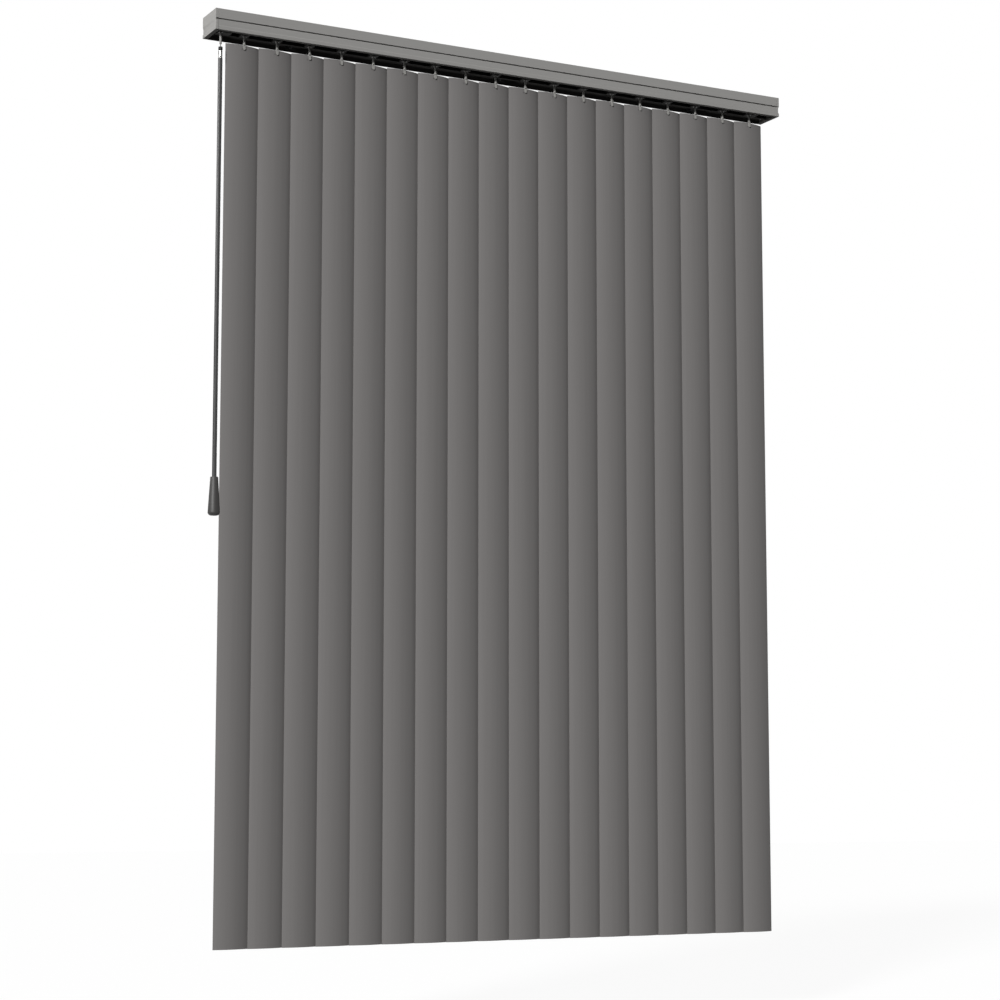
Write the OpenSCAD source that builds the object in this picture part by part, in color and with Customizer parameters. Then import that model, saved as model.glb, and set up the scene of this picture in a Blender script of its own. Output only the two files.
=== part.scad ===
// Vertical blind: curved hanging vanes on wheeled carriers in a slotted headrail, behind a stepped
// three-sided valance, turned by a hanging wand. The wall plane is Y = 0 and the room is towards -Y.
// The origin is the centre of the wall screw pattern.

/* [Vanes] */
// Number of vanes across the blind
vane_count = 18; // [8:1:18]
// Chord of one vane from edge to edge
vane_w = 89; // [86:0.5:91]
// How far a closed vane's edge lies over the next vane
vane_overlap = 6.5; // [5:0.5:7]
// Length of one vane
vane_l = 2070; // [1200:10:2600]
// Thickness of the vane strip
vane_t = 0.8; // [0.6:0.1:1.1]
// How far the middle of a vane bows out of its chord
vane_bow = 7.5; // [6:0.25:8.5]
// Turn of the closed vanes out of the plane of the rail, in degrees
closed_turn = 5.5; // [5:0.25:7]
// Drop from the bottom of the valance to the top of the vanes
vane_drop = 21; // [18:0.5:30]
// Width of the hook slot punched near the top of a vane
hook_slot_w = 12; // [10:0.5:16]
// Height of the hook slot
hook_slot_h = 4; // [3.5:0.25:6]
// Distance from the top of a vane to its hook slot
hook_slot_drop = 7; // [6:0.5:14]

/* [Stems] */
// Radius of a stem's round shank
stem_r = 2.8; // [2.4:0.1:3]
// Depth of the shank in its carrier
stem_depth = 13; // [9:0.5:15]
// Width of the stem's fork
fork_w = 6; // [5:0.25:8]
// Thickness of one tongue of the fork
tongue_t = 1.6; // [1.2:0.1:2.2]
// How far the stem's back plate reaches past the hook slot, at its foot and on each side
plate_margin = 1.5; // [1:0.25:4]

/* [Headrail] */
// Depth of the headrail from front to back
rail_w = 44; // [42:0.5:50]
// Height of the headrail
rail_h = 28; // [27:0.5:34]
// Wall of the headrail
rail_t = 1.4; // [1:0.1:1.8]
// Width of the slot along the underside of the headrail
slot_w = 26; // [25:0.5:28]
// Rail beyond the first stem, on the wand's side
rail_near = 70; // [70:0.5:90]
// Rail beyond the last stem
rail_far = 62; // [40:0.5:90]
// Distance from the stems to the wall
stem_to_wall = 56; // [52:0.5:80]
// Distance from the top of the headrail down to the centre of the wall screws
screw_drop = 13; // [12:0.5:16]
// Thickness of an end cap's plate
cap_t = 3; // [2:0.25:3.5]
// Length of an end cap's plug inside the headrail
plug_l = 3; // [2:0.25:3.5]

/* [Carriers] */
// Length of a carrier along the rail
carrier_l = 20; // [16:0.5:24]
// Height of a carrier
carrier_h = 23.5; // [21:0.5:24]
// How far a carrier shows below the headrail
carrier_show = 1.5; // [0.5:0.25:3]
// Radius of a carrier's wheel
wheel_r = 4.5; // [3.5:0.25:5.5]
// Width of a carrier's wheel
wheel_w = 4; // [3:0.25:4.5]
// Radius of a wheel's axle
axle_r = 1.5; // [1.2:0.1:1.8]
// Width of a spacer link
link_w = 5; // [4:0.25:5.5]
// Thickness of a spacer link
link_t = 0.8; // [0.6:0.1:1.2]

/* [Tilt rod] */
// Radius of the fluted tilt rod
rod_r = 3; // [2.4:0.1:3.2]
// Distance of the tilt rod behind the stems
rod_back = 7.2; // [7:0.1:8]
// Height of the tilt rod above the bottom of a carrier
rod_up = 16; // [14:0.25:18]

/* [Wand] */
// Distance of the wand beside the first stem
wand_side = 61; // [60:0.5:62]
// Distance of the wand in front of the stems
wand_front = 7; // [5:0.25:8]
// Length of the wand carrier
wand_carrier_l = 33; // [28:0.5:38]
// Drop from the bottom of a carrier to the middle of the wand's ball
ball_drop = 38; // [30:0.5:60]
// Radius of the ball at the foot of the wand's stem
ball_r = 3.6; // [3.2:0.1:4]
// Distance from the ball to the knuckle pin below it
knuckle_drop = 10.5; // [10.5:0.25:14]
// Outer radius of the wand's ferrule
ferrule_r = 4.7; // [4.5:0.1:5]
// Length of the ferrule
ferrule_l = 16.5; // [14:0.5:24]
// Distance across the corners of the eight-sided wand rod
wand_d = 11.2; // [10:0.2:13]
// Length of the wand rod between the ferrule and the handle
wand_l = 975; // [500:5:1500]
// Diameter of the handle at its top
handle_top_d = 18.2; // [16:0.1:20]
// Diameter of the handle near its foot
handle_foot_d = 27.7; // [22:0.1:28]
// Length of the handle
handle_l = 88.5; // [60:0.5:120]

/* [Valance] */
// Height of the valance
valance_h = 50; // [48:0.5:70]
// Height of the proud upper band
upper_band_h = 23; // [20:0.5:26]
// Height of the shadow groove under the upper band
groove_h = 3.2; // [2:0.1:5]
// Setback of the lower band behind the upper band
setback = 1.4; // [1:0.1:3]
// Height of the proud lip along the bottom
lip_h = 8.5; // [6:0.25:11]
// Depth of the lip's foot, seen from below
lip_d = 11; // [9:0.25:13]
// Wall of the valance profile
valance_t = 2.2; // [1.6:0.1:2.6]
// Thickness of the rear panel
rear_t = 2; // [1.5:0.1:3]

/* [Fixings] */
// Distance from an end of the headrail to the middle of the outer bracket
bracket_inset = 207.25; // [60:0.25:260]
// Width of a bracket
bracket_w = 30; // [20:0.5:40]
// Thickness of a bracket
bracket_t = 2; // [1.5:0.1:3]
// Distance between the two screw holes of a bracket
screw_gap = 14; // [12:0.5:16]
// Radius of a wall screw hole
screw_r = 2.5; // [2:0.1:3]
// Distance from an end of the headrail to the outer valance clip
clip_inset = 167.25; // [40:0.25:190]
// Width of a valance clip
clip_w = 20; // [12:0.5:30]
// Thickness of a valance clip
clip_t = 1.5; // [1:0.1:1.8]

/* [Hidden] */
$fn = 64;
// Clearances: running fit of a shank, loose fit, contact-free seat
fit_gap = 0.05;
run_gap = 0.1;
seat_gap = 0.3;

vane_r = (vane_w * vane_w / 4 + vane_bow * vane_bow) / (2 * vane_bow);
vane_half = asin(vane_w / 2 / vane_r);

vane_pitch = vane_w - vane_overlap;
rail_l = (vane_count - 1) * vane_pitch + rail_near + rail_far;
bracket_x = rail_l / 2 - bracket_inset;
clip_gap = (rail_l - 2 * clip_inset) / 3;
rail_left = -rail_l / 2;
rail_right = rail_l / 2;
stem_y = -stem_to_wall;
rail_front = stem_y - rail_w / 2;
rail_top = screw_drop;
rail_bottom = rail_top - rail_h;
rail_floor = rail_bottom + rail_t;
function stem_x(i) = rail_left + rail_near + (i - 1) * vane_pitch;

// The valance stands in front of the rail and past its ends by its own thickness and a gap
groove_d = setback + 2;
profile_d = groove_d + valance_t;
front_gap = 2.4;
end_gap = 3.15;
lip_gap = 1;
lip_t = 2;
valance_bottom = rail_bottom - lip_gap - lip_t;
valance_front_y = rail_front - front_gap - profile_d;
valance_half = rail_l / 2 + cap_t + end_gap + profile_d;
groove_top = valance_h - upper_band_h;
groove_foot = groove_top - groove_h;
rib_h = 1.8;

vane_top = valance_bottom - vane_drop;
carrier_bottom = rail_bottom - carrier_show;
carrier_top = carrier_bottom + carrier_h;
carrier_w = slot_w - 2;
carrier_chamfer = 2.5;
rod_z = carrier_bottom + rod_up;
rod_y = stem_y + rod_back;
rod_gap = 0.4;
flute_r = 0.8;
wheel_y = (slot_w / 2 + rail_w / 2 - rail_t) / 2;
wheel_z = rail_floor + run_gap + wheel_r;
axle_head_t = 0.7;
axle_head_r = axle_r + 0.9;
link_seat = 0.3;
link_hook_t = 1.2;
link_hook_h = 4;
link_tail = 6;
lane_gap = 1;

wand_x = stem_x(1) - wand_side;
wand_y = stem_y - wand_front;
wand_carrier_end = 5.2;
ball_z = carrier_bottom - ball_drop;
neck_r = 1.3;
socket_wall = 1.3;
socket_r = ball_r + run_gap + socket_wall;
socket_rise = 2.2;
pin_r = 1;
pin_z = ball_z - knuckle_drop;
tongue_w = 2.4;
ferrule_rise = 3;
ferrule_top = pin_z + ferrule_rise;
ferrule_foot = ferrule_top - ferrule_l;
fork_floor = pin_z - 4.2;
spigot_r = 2.4;
spigot_l = 6;
handle_z = ferrule_foot - run_gap - wand_l;

RUNNERS = [for (i = [1:vane_count]) i];
function two_digits(i) = str(i < 10 ? "0" : "", i);
function vane_name(i) = str("vane_", two_digits(i));
function carrier_name(i) = str("carrier_", two_digits(i));

// Lays a (Y, Z) outline along X from x0 for a length
module along_x(x0, length) {
    translate([x0, 0, 0]) rotate([90, 0, 90]) linear_extrude(length) children();
}

// Slotted channel with two floors for the wheels
module headrail() {
    color("#2f2e2d") along_x(rail_left, rail_l) translate([stem_y, 0]) difference() {
        translate([-rail_w / 2, rail_bottom]) square([rail_w, rail_h]);
        translate([-rail_w / 2 + rail_t, rail_floor]) square([rail_w - 2 * rail_t, rail_h - 2 * rail_t]);
        translate([-slot_w / 2, rail_bottom - 1]) square([slot_w, rail_t + 2]);
    }
}

// Cap of a rail end: an outer plate, a plug and a blind bearing for the tilt rod, on side -1 or 1
module end_cap(side) {
    bearing_depth = plug_l + cap_t - 1;
    plug_gap = 0.1;
    color("#3a3938") translate([side * rail_right, stem_y, rail_bottom]) mirror([side < 0 ? 1 : 0, 0, 0])
        difference() {
            union() {
                translate([0, -rail_w / 2, 0]) cube([cap_t, rail_w, rail_h]);
                translate([-plug_l, -rail_w / 2 + rail_t + plug_gap, rail_t + plug_gap])
                    cube([plug_l + 1, rail_w - 2 * (rail_t + plug_gap), rail_h - 2 * (rail_t + plug_gap)]);
            }
            translate([-plug_l - 1, rod_back, rod_z - rail_bottom]) rotate([0, 90, 0])
                cylinder(r = rod_r + run_gap, h = bearing_depth + 1);
        }
}

// Rod with four flutes that drives every carrier
module tilt_rod() {
    end_play = 0.5;
    reach = cap_t - 1 - end_play;
    color("#b9bab8") translate([rail_left - reach, rod_y, rod_z]) rotate([0, 90, 0])
        linear_extrude(rail_l + 2 * reach) difference() {
            circle(r = rod_r);
            for (a = [0:90:270]) rotate(a) translate([rod_r, 0]) circle(r = flute_r, $fn = 24);
        }
}

// Moulded housing of a runner: chamfered body, axle stubs at each given x, bored for the tilt rod
module runner_housing(length, axle_xs) {
    half = carrier_w / 2;
    axle_end = wheel_y + wheel_w / 2 + run_gap;
    difference() {
        union() {
            rotate([90, 0, 90]) linear_extrude(length) polygon([
                [-half + carrier_chamfer, carrier_bottom], [half - carrier_chamfer, carrier_bottom],
                [half, carrier_bottom + carrier_chamfer], [half, carrier_top - carrier_chamfer],
                [half - carrier_chamfer, carrier_top], [-half + carrier_chamfer, carrier_top],
                [-half, carrier_top - carrier_chamfer], [-half, carrier_bottom + carrier_chamfer]]);
            for (x = axle_xs, side = [-1, 1]) translate([x, 0, wheel_z]) rotate([-90 * side, 0, 0]) {
                cylinder(r = axle_r, h = axle_end + axle_head_t);
                cylinder(r = axle_head_r, h = wheel_y - wheel_w / 2 - run_gap);
                translate([0, 0, axle_end]) cylinder(r = axle_head_r, h = axle_head_t);
            }
        }
        translate([-1, rod_back, rod_z]) rotate([0, 90, 0]) cylinder(r = rod_r + rod_gap, h = length + 2);
    }
}

// Wheels of a runner, one on each side of every axle place
module runner_wheels(axle_xs) {
    for (x = axle_xs, side = [-1, 1]) translate([x, side * wheel_y, wheel_z]) rotate([90, 0, 0])
        difference() {
            cylinder(r = wheel_r, h = wheel_w, center = true);
            cylinder(r = axle_r + run_gap, h = wheel_w + 1, center = true);
        }
}

// Left edge of the lane in which a spacer link lies, which changes from one carrier to the next
function lane_y(i) = i % 2 == 0 ? -lane_gap / 2 - link_w : lane_gap / 2;
lane_shift = -4;

// Strip that runs from a carrier to the one before it and hooks round that one's far face
module spacer_link(i) {
    z = carrier_top + link_seat;
    start = i > 1 ? -vane_pitch - carrier_l / 2 - seat_gap - link_hook_t : -wand_side + wand_carrier_l / 2;
    translate([0, lane_y(i) + lane_shift, 0]) {
        translate([start, 0, z]) cube([link_tail - start, link_w, link_t]);
        if (i > 1) translate([start, 0, z - link_hook_h]) cube([link_hook_t, link_w, link_hook_h + link_t]);
    }
}

// Seat that lifts a link clear of the carriers that it slides over
module link_seat_pad(i, x0, x1) {
    translate([x0, lane_y(i) + lane_shift, carrier_top - 1]) cube([x1 - x0, link_w, 1 + link_seat]);
}

// One vane's carrier: housing with a stem bore, two wheels, and the link to the carrier before it
module carrier(i) {
    color("#3b3a39") translate([stem_x(i), stem_y, 0]) {
        difference() {
            union() {
                translate([-carrier_l / 2, 0, 0]) runner_housing(carrier_l, [carrier_l / 2]);
                link_seat_pad(i, -link_tail, link_tail);
            }
            translate([0, 0, carrier_bottom - 1]) cylinder(r = stem_r + fit_gap, h = stem_depth + 1);
        }
        runner_wheels([0]);
        spacer_link(i);
    }
}

// Block that fills the slot after the last carrier and keeps the stack off the rail's end
module stack_stop() {
    length = 12;
    wing_h = 4;
    wing_w = rail_w - 2 * rail_t - 3;
    color("#3b3a39") translate([stem_x(vane_count) + carrier_l / 2 + seat_gap, stem_y, 0]) difference() {
        union() {
            translate([0, -carrier_w / 2, carrier_bottom]) cube([length, carrier_w, carrier_h]);
            translate([0, -wing_w / 2, rail_floor]) cube([length, wing_w, wing_h]);
        }
        translate([-1, rod_back, rod_z]) rotate([0, 90, 0]) cylinder(r = rod_r + rod_gap, h = length + 2);
    }
}

// Curved strip with its punched hook slot, about the stem's axis
module vane_strip() {
    difference() {
        translate([0, vane_r, vane_top - vane_l]) rotate([0, 0, -90 - vane_half])
            rotate_extrude(angle = 2 * vane_half, $fn = 360)
                translate([vane_r - vane_t / 2, 0]) square([vane_t, vane_l]);
        translate([-hook_slot_w / 2, -vane_t * 2, vane_top - hook_slot_drop - hook_slot_h])
            cube([hook_slot_w, vane_t * 4, hook_slot_h]);
    }
}

// Stem: round shank with a collar under the carrier, and a fork of a front tongue and a wider back plate,
// whose hook holds the vane's slot
module vane_stem() {
    fork_gap = vane_t / 2 + seat_gap;
    fork_half = fork_gap + tongue_t;
    head_h = 5;
    head_foot = vane_top + seat_gap;
    slot_top = vane_top - hook_slot_drop;
    hook_h = hook_slot_h - 1.4;
    tongue_foot = slot_top - hook_h - run_gap;
    plate_w = hook_slot_w + 2 * plate_margin;
    plate_foot = slot_top - hook_slot_h - plate_margin;
    collar_t = 1;
    collar_r = stem_r + 1.7;
    shank_top = carrier_bottom + stem_depth - seat_gap;
    translate([0, 0, head_foot]) cylinder(r = stem_r, h = shank_top - head_foot);
    translate([0, 0, carrier_bottom - run_gap - collar_t]) cylinder(r = collar_r, h = collar_t);
    translate([-fork_w / 2, -fork_half, head_foot]) cube([fork_w, 2 * fork_half, head_h]);
    translate([0, -fork_gap - tongue_t / 2, 0]) rotate([90, 0, 0]) linear_extrude(tongue_t, center = true) {
        translate([-fork_w / 2, tongue_foot + fork_w / 2])
            square([fork_w, head_foot + 1 - tongue_foot - fork_w / 2]);
        translate([0, tongue_foot + fork_w / 2]) circle(d = fork_w);
    }
    translate([-plate_w / 2, fork_gap, plate_foot]) cube([plate_w, tongue_t, head_foot + 1 - plate_foot]);
    translate([-fork_w / 4, -fork_gap - tongue_t / 2, slot_top - run_gap - hook_h])
        cube([fork_w / 2, 2 * fork_gap + tongue_t, hook_h]);
}

// One vane hung on its stem, turned nearly into the plane of the rail
module vane(i) {
    translate([stem_x(i), stem_y, 0]) rotate([0, 0, closed_turn]) {
        color("#6d6b6a") vane_strip();
        color("#9a9998") vane_stem();
    }
}

// Longer leading carrier from which the wand hangs
module wand_carrier() {
    end = wand_carrier_l - wand_carrier_end;
    axles = [wand_carrier_l / 4, wand_carrier_l * 3 / 4];
    color("#454443") translate([wand_x - wand_carrier_end, stem_y, 0]) {
        difference() {
            union() {
                runner_housing(wand_carrier_l, axles);
                link_seat_pad(1, wand_carrier_l / 2 + wand_carrier_end, end + wand_carrier_end);
            }
            translate([wand_carrier_end, -wand_front, carrier_bottom - 1])
                cylinder(r = stem_r + fit_gap, h = stem_depth + 1);
        }
        runner_wheels(axles);
    }
}

// Turning stem of the wand: shank, collar, thin neck and ball
module wand_stem() {
    collar_t = 1;
    neck_l = 6;
    shank_top = carrier_bottom + stem_depth - seat_gap;
    shank_foot = ball_z + ball_r + neck_l;
    color("#9a9998") translate([wand_x, wand_y, 0]) {
        translate([0, 0, shank_foot]) cylinder(r = stem_r, h = shank_top - shank_foot);
        translate([0, 0, carrier_bottom - run_gap - collar_t]) cylinder(r = stem_r + 1.7, h = collar_t);
        translate([0, 0, ball_z]) cylinder(r = neck_r, h = ball_r + neck_l + 1);
        translate([0, 0, ball_z]) sphere(r = ball_r);
    }
}

// Socket that snaps over the ball, with a flat tongue for the knuckle pin
module wand_coupling() {
    mouth_r = 2.85;
    cavity_r = ball_r + run_gap;
    socket_foot = ball_z - cavity_r - socket_wall;
    color("#1b1b1b") translate([wand_x, wand_y, 0]) {
        difference() {
            union() {
                translate([0, 0, socket_foot]) cylinder(r = socket_r, h = ball_z + socket_rise - socket_foot);
                translate([0, tongue_w / 2, pin_z]) rotate([90, 0, 0]) linear_extrude(tongue_w) {
                    circle(r = ferrule_rise);
                    translate([-ferrule_rise, 0]) square([2 * ferrule_rise, socket_foot - pin_z + 1]);
                }
            }
            translate([0, 0, ball_z]) sphere(r = cavity_r);
            translate([0, 0, ball_z]) cylinder(r = mouth_r, h = socket_rise + 1);
            translate([0, 0, pin_z]) rotate([90, 0, 0])
                cylinder(r = pin_r + fit_gap, h = tongue_w + 2, center = true);
        }
    }
}

// Knuckle pin across the ferrule's fork
module wand_pin() {
    color("#c9c9c7") translate([wand_x, wand_y, pin_z]) rotate([90, 0, 0])
        cylinder(r = pin_r, h = 2 * ferrule_r - 1, center = true);
}

// Bright sleeve: forked at the top for the coupling's tongue, bored at the foot for the rod
module wand_ferrule() {
    fork_gap = tongue_w + 2 * run_gap;
    color("#d8d8d6") translate([wand_x, wand_y, 0]) difference() {
        translate([0, 0, ferrule_foot]) cylinder(r = ferrule_r, h = ferrule_l);
        translate([-ferrule_r - 1, -fork_gap / 2, fork_floor])
            cube([2 * ferrule_r + 2, fork_gap, ferrule_top - fork_floor + 1]);
        translate([0, 0, pin_z]) rotate([90, 0, 0]) cylinder(r = pin_r, h = 2 * ferrule_r + 2, center = true);
        translate([0, 0, ferrule_foot - 1]) cylinder(r = spigot_r + fit_gap, h = spigot_l + 1 + seat_gap);
    }
}

// Eight-sided rod with a round spigot that turns in the ferrule
module wand_rod() {
    rod_top = ferrule_foot - run_gap;
    color("#5f5f5f") translate([wand_x, wand_y, 0]) {
        translate([0, 0, handle_z]) cylinder(d = wand_d, h = wand_l, $fn = 8);
        translate([0, 0, rod_top - 1]) cylinder(r = spigot_r, h = spigot_l + 1 + run_gap);
    }
}

// Tapered grip with a rounded foot
module wand_handle() {
    foot_r = handle_foot_d / 2;
    round_r = 7.5;
    shoulder = 2;
    color("#4a4a4a") translate([wand_x, wand_y, handle_z - handle_l]) rotate_extrude() union() {
        polygon([[0, round_r], [foot_r, round_r], [foot_r - 0.8, round_r + 14],
            [handle_top_d / 2, handle_l - shoulder], [handle_top_d / 2 - shoulder, handle_l], [0, handle_l]]);
        square([foot_r - round_r, round_r + 1]);
        intersection() {
            translate([foot_r - round_r, round_r]) circle(r = round_r);
            square([foot_r, round_r]);
        }
    }
}

// Section of the valance: depth behind its front plane, and height above its foot. Only the front board has
// the deeper shadow groove.
module valance_profile(grooved) {
    rib_foot = groove_foot - rib_h;
    rib_top = groove_top + rib_h;
    wall_d = setback + valance_t;
    step = grooved
        ? [[groove_d, groove_top], [groove_d, groove_foot], [setback, groove_foot]]
        : [[setback, groove_top]];
    polygon(concat([[0, valance_h], [0, groove_top]], step, [
        [setback, lip_h + 1], [0, lip_h], [0, 0],
        [lip_d, 0], [lip_d, lip_t], [wall_d, lip_t], [wall_d, rib_foot],
        [profile_d, rib_foot], [profile_d, rib_top], [valance_t, rib_top], [valance_t, valance_h]]));
}

// Plan of the front board, mitred at both corners
module mitre_plan() {
    polygon([
        [-valance_half, valance_front_y], [valance_half, valance_front_y],
        [valance_half - lip_d, valance_front_y + lip_d], [-valance_half + lip_d, valance_front_y + lip_d]]);
}

module valance_front() {
    color("#888785") intersection() {
        translate([-valance_half, valance_front_y, valance_bottom]) rotate([90, 0, 90])
            linear_extrude(2 * valance_half) valance_profile(true);
        translate([0, 0, valance_bottom - 1]) linear_extrude(valance_h + 2) mitre_plan();
    }
}

// Return board from the mitred corner back to the wall, on side -1 or 1
module valance_return(side) {
    color("#9a9896") mirror([side > 0 ? 1 : 0, 0, 0]) intersection() {
        translate([-valance_half, 0, valance_bottom]) rotate([90, 0, 0])
            linear_extrude(-valance_front_y) valance_profile(false);
        translate([0, 0, valance_bottom - 1]) linear_extrude(valance_h + 2) polygon([
            [-valance_half, valance_front_y], [-valance_half + lip_d, valance_front_y + lip_d],
            [-valance_half + lip_d, 0], [-valance_half, 0]]);
    }
}

// Clips on the rail's top that reach forward to the back of the upper band
module valance_clips() {
    back = 14;
    leg_h = 12;
    inner = valance_front_y + valance_t;
    color("#b5b5b3") for (k = [-1.5:1:1.5]) translate([k * clip_gap - clip_w / 2, 0, rail_top]) {
        translate([0, inner, 0]) cube([clip_w, rail_front + back - inner, clip_t]);
        translate([0, inner, 0]) cube([clip_w, clip_t, leg_h]);
    }
}

// Strip that closes the back between the two returns, drilled for the wall screws. Its ends follow the
// inside of the returns: the lip, the lower band, the rib and the upper band
module rear_panel() {
    notch = lip_t + seat_gap;
    rib_foot = groove_foot - rib_h - seat_gap;
    rib_top = groove_top + rib_h + seat_gap;
    levels = [
        [lip_d, 0, notch + 1], [setback + valance_t, notch, rib_foot],
        [profile_d, notch, valance_h], [valance_t, rib_top, valance_h]];
    color("#3a3938") difference() {
        for (level = levels) let (half = valance_half - level[0] - seat_gap)
            translate([-half, -rear_t, valance_bottom + level[1]])
                cube([2 * half, rear_t, level[2] - level[1]]);
        for (k = [-1:1]) screw_holes(k);
    }
}

// The two wall screw holes of the bracket at place -1, 0 or 1
module screw_holes(k) {
    depth = rear_t + bracket_t + 2;
    for (side = [-1, 1]) translate([k * bracket_x, 1, side * screw_gap / 2]) rotate([90, 0, 0])
        cylinder(r = screw_r, h = depth);
}

// Angle bracket: wall leg, arm over the rail and a lip down each side of the rail
module bracket(k) {
    grip = 0.2;
    lip = 6;
    leg_foot = -screw_gap / 2 - 7;
    arm_end = rail_front - grip - clip_t;
    color("#2b2b2b") difference() {
        translate([k * bracket_x - bracket_w / 2, 0, 0]) {
            translate([0, -rear_t - bracket_t, leg_foot])
                cube([bracket_w, bracket_t, rail_top + bracket_t - leg_foot]);
            translate([0, arm_end, rail_top]) cube([bracket_w, -rear_t - arm_end, bracket_t]);
            translate([0, arm_end, rail_top - lip]) cube([bracket_w, clip_t, lip + 1]);
            translate([0, rail_front + rail_w + grip, rail_top - lip]) cube([bracket_w, clip_t, lip + 1]);
        }
        screw_holes(k);
    }
}

headrail();
end_cap(-1);  // end_cap_left
end_cap(1);  // end_cap_right
tilt_rod();
stack_stop();
for (i = RUNNERS) carrier(i);
for (i = RUNNERS) vane(i);
wand_carrier();
wand_stem();
wand_coupling();
wand_pin();
wand_ferrule();
wand_rod();
wand_handle();
valance_front();
valance_return(-1);  // valance_return_left
valance_return(1);  // valance_return_right
valance_clips();
rear_panel();
bracket(-1);  // bracket_left
bracket(0);  // bracket_middle
bracket(1);  // bracket_right
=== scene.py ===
from math import asin, cos, pi, radians, sin

import bmesh
import bpy
from mathutils import Matrix, Vector


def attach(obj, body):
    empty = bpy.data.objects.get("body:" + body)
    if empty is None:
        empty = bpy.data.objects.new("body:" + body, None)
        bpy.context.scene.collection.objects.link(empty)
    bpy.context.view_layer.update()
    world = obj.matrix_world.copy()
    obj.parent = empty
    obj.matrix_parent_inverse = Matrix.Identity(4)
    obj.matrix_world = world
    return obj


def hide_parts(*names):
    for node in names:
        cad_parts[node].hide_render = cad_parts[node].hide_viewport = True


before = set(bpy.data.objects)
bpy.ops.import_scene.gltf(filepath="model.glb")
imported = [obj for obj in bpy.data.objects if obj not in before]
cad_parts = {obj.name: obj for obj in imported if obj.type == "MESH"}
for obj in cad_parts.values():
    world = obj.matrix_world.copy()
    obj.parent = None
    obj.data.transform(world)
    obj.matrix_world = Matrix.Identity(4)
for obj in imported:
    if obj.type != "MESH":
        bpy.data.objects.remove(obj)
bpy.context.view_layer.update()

# Wall brackets: three angles pressed from 2 mm steel strip, screwed to the wall through the rear panel,
# with an arm that lies over the headrail and grips it. They are dipped in black enamel, so that they
# don't show from the room.


def linear(hex_colour):
    """The linear colour of an sRGB hex value, with an alpha of 1."""
    parts = [int(hex_colour[k:k + 2], 16) / 255 for k in (1, 3, 5)]
    return (*[p / 12.92 if p <= 0.04045 else ((p + 0.055) / 1.055) ** 2.4 for p in parts], 1)


def add_node(owner, kind, inputs=None, **settings):
    """Adds a node: settings are its properties, inputs are values or the sockets that feed it."""
    node = owner.node_tree.nodes.new(kind)
    for key, value in settings.items():
        setattr(node, key, value)
    for key, value in (inputs or {}).items():
        if isinstance(value, bpy.types.NodeSocket):
            owner.node_tree.links.new(value, node.inputs[key])
        else:
            node.inputs[key].default_value = value
    return node


def empty_material(name):
    """A material with no nodes yet."""
    material = bpy.data.materials.new(name)
    material.use_nodes = True
    material.node_tree.nodes.clear()
    return material


def paint(material, *names):
    """Puts a material on the CAD nodes that are shown as they are."""
    for name in names:
        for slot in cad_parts[name].material_slots:
            slot.material = material


# Dipped enamel: half gloss, with slow runs about 12 mm across in the film.
dipped_enamel = empty_material("dipped_black_enamel")
place = add_node(dipped_enamel, "ShaderNodeTexCoord").outputs["Object"]
runs = add_node(dipped_enamel, "ShaderNodeTexNoise", {"Vector": place, "Scale": 1 / 0.012, "Detail": 2.0})
tint = add_node(dipped_enamel, "ShaderNodeMix", {
    "Factor": runs.outputs["Fac"], "A": linear("#181818"), "B": linear("#202020")}, data_type="RGBA")
film = add_node(dipped_enamel, "ShaderNodeBump", {
    "Height": runs.outputs["Fac"], "Strength": 0.2, "Distance": 0.0004})
shader = add_node(dipped_enamel, "ShaderNodeBsdfPrincipled", {
    "Base Color": tint.outputs["Result"], "Roughness": 0.5, "Specular IOR Level": 0.15,
    "Normal": film.outputs["Normal"]})
add_node(dipped_enamel, "ShaderNodeOutputMaterial", {"Surface": shader.outputs["BSDF"]})
paint(dipped_enamel, "bracket_left", "bracket_middle", "bracket_right")

# Wall screws: two pan-head screws hold each bracket and the rear panel to the wall. They are of steel, plated
# with black zinc, and only what stands out of the wall is made.
SCREW_X, SCREW_Z = 560.0, 7.0
SCREW_R, SCREW_END, SCREW_SEAT = 2.2, 0.2, 4.05
PAN_HEAD = [(4.4, 0), (4.4, 0.55), (3.9, 1.55), (2.6, 2.15), (0, 2.35)]  # radius, height over the seat
MM = 0.001  # the pieces are built in millimetres, and the frame is in metres
SQUARE, FOLD = 0.999, radians(32)  # how square to an axis a flat face is, and where a fold becomes a corner
WELD = 1e-4  # points closer than this are one point


def add_piece(bm, name, material, slot, body, *nodes, boxy=False):
    """Makes a piece of a mesh built in millimetres, smooth but for its corners, and hands it to its body.
    The faces of a boxy piece that are square to an axis stay flat."""
    bmesh.ops.scale(bm, vec=(MM, MM, MM), verts=bm.verts)
    bmesh.ops.recalc_face_normals(bm, faces=bm.faces)
    for face in bm.faces:
        face.smooth = not boxy or max(map(abs, face.normal)) < SQUARE
    for edge in bm.edges:
        edge.smooth = edge.is_manifold and edge.calc_face_angle() < FOLD
    mesh = bpy.data.meshes.new(name)
    bm.to_mesh(mesh)
    bm.free()
    mesh.materials.append(material)
    piece = bpy.data.objects.new(name, mesh)
    bpy.context.scene.collection.objects.link(piece)
    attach(piece, body)
    if nodes:
        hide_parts(*nodes)
    return piece


def add_lathe(bm, outline, steps=24):
    """Turns an outline of (radius, height) about Z and closes it where it meets the axis."""
    before = set(bm.verts)
    points = [bm.verts.new((r, 0, z)) for r, z in outline]
    edges = [bm.edges.new(pair) for pair in zip(points, points[1:])]
    bmesh.ops.spin(bm, geom=points + edges, cent=(0, 0, 0), axis=(0, 0, 1), angle=2 * pi, steps=steps,
                   use_merge=True)
    bmesh.ops.remove_doubles(bm, verts=[v for v in bm.verts if v not in before], dist=WELD)
    return [v for v in bm.verts if v not in before]


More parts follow.
